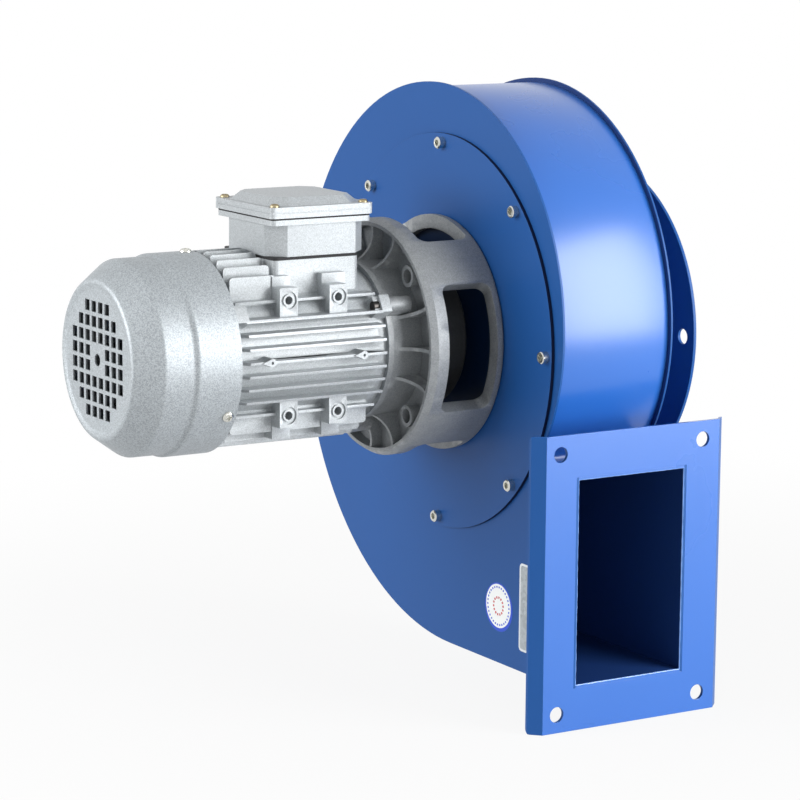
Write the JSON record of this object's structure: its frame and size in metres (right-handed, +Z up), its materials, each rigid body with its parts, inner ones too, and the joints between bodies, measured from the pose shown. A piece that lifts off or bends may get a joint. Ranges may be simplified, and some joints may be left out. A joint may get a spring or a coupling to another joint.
{
  "type": "induced draft fan",
  "caption": "Small centrifugal blower: sheet-metal scroll casing with flanged inlet and outlet, turned by a finned flange motor through a ventilated lantern.",
  "frame": {"origin": "centre of the inlet flange's outer face, on the shaft's axis", "axes": "+Y out of the inlet along the shaft, so the motor is at negative Y; +X the way the outlet blows; +Z up"},
  "size_m": [0.445, 0.4919, 0.5135],
  "materials": {
    "casing_paint": "satin",
    "motor_paint": "satin",
    "shield_casting": "matte",
    "zinc_hardware": "satin",
    "brass_screws": "satin",
    "sealing_rubber": "matte",
    "black_moulding": "matte",
    "bearing_steel": "gloss",
    "spring_steel": "satin",
    "core_steel": "matte",
    "winding_copper": "gloss",
    "rotor_cast": "satin",
    "shaft_steel": "satin",
    "impeller_steel": "satin"
  },
  "bodies": {
    "casing": {"front_side_plate": "casing_paint", "rear_side_plate": "casing_paint", "scroll_wrapper": "casing_paint", "outlet_flange": "casing_paint", "inlet_collar": "casing_paint", "inlet_flange": "casing_paint", "inlet_cone": "casing_paint", "motor_plate": "casing_paint", "motor_frame": "motor_paint", "rear_end_shield": "motor_paint", "fan_cowl": "motor_paint", "terminal_box": "motor_paint", "terminal_box_lid": "motor_paint", "drive_end_shield": "shield_casting", "motor_plate_screws": "zinc_hardware", "motor_plate_nuts": "zinc_hardware", "lantern_screws": "zinc_hardware", "drive_end_screws": "zinc_hardware", "rear_end_screws": "zinc_hardware", "cowl_screws": "zinc_hardware", "terminal_box_screws": "zinc_hardware", "lid_screws": "brass_screws", "terminal_studs": "brass_screws", "terminal_box_gasket": "sealing_rubber", "terminal_lid_gasket": "sealing_rubber", "shaft_seal": "sealing_rubber", "cable_entry_plug": "black_moulding", "terminal_block": "black_moulding", "front_bearing_outer": "bearing_steel", "front_bearing_balls": "bearing_steel", "rear_bearing_outer": "bearing_steel", "rear_bearing_balls": "bearing_steel", "preload_spring": "spring_steel", "stator_core": "core_steel", "stator_windings": "winding_copper"},
    "rotor": {"shaft": "shaft_steel", "impeller_key": "shaft_steel", "impeller_hub": "impeller_steel", "impeller_backplate": "impeller_steel", "impeller_rivets": "zinc_hardware", "impeller_blades": "impeller_steel", "impeller_shroud": "impeller_steel", "impeller_washer": "zinc_hardware", "impeller_bolt": "zinc_hardware", "rotor_core": "core_steel", "rotor_end_rings": "rotor_cast", "cooling_fan": "black_moulding", "fan_clip": "spring_steel", "front_bearing_inner": "bearing_steel", "rear_bearing_inner": "bearing_steel"}
  },
  "joints": [
    {"name": "impeller_spin", "type": "hinge", "parent": "casing", "child": "rotor", "pos_m": [0, -0.25, 0], "axis": [0, -1, 0], "continuous": true}
  ]
}
